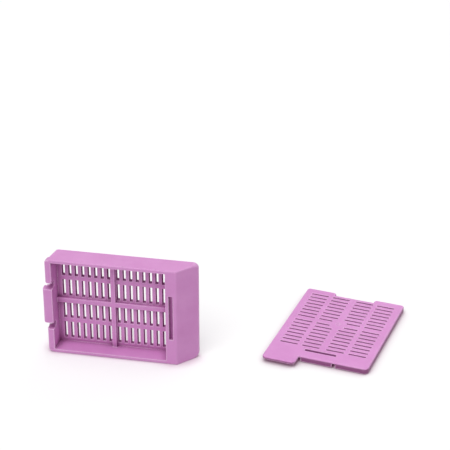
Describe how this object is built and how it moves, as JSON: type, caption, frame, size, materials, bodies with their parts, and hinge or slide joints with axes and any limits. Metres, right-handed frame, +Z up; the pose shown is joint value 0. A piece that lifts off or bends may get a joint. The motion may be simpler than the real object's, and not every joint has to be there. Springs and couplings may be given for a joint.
{
  "type": "tissue cassette",
  "caption": "Perforated histology tray standing on its long side, with a sloped writing face and a crossed rib, and its perforated lid detached and lying beside it.",
  "frame": {"origin": "middle of the base's resting side, which is the long side it stands on", "axes": "+X along the base from its hinge end to its writing face, -Y out of the open tray, +Z up"},
  "size_m": [0.0943, 0.0455, 0.0287],
  "materials": {
    "base_plastic": "satin",
    "lid_plastic": "satin"
  },
  "bodies": {
    "root": {"cassette_base": "base_plastic", "cassette_lid": "lid_plastic"}
  },
  "joints": []
}
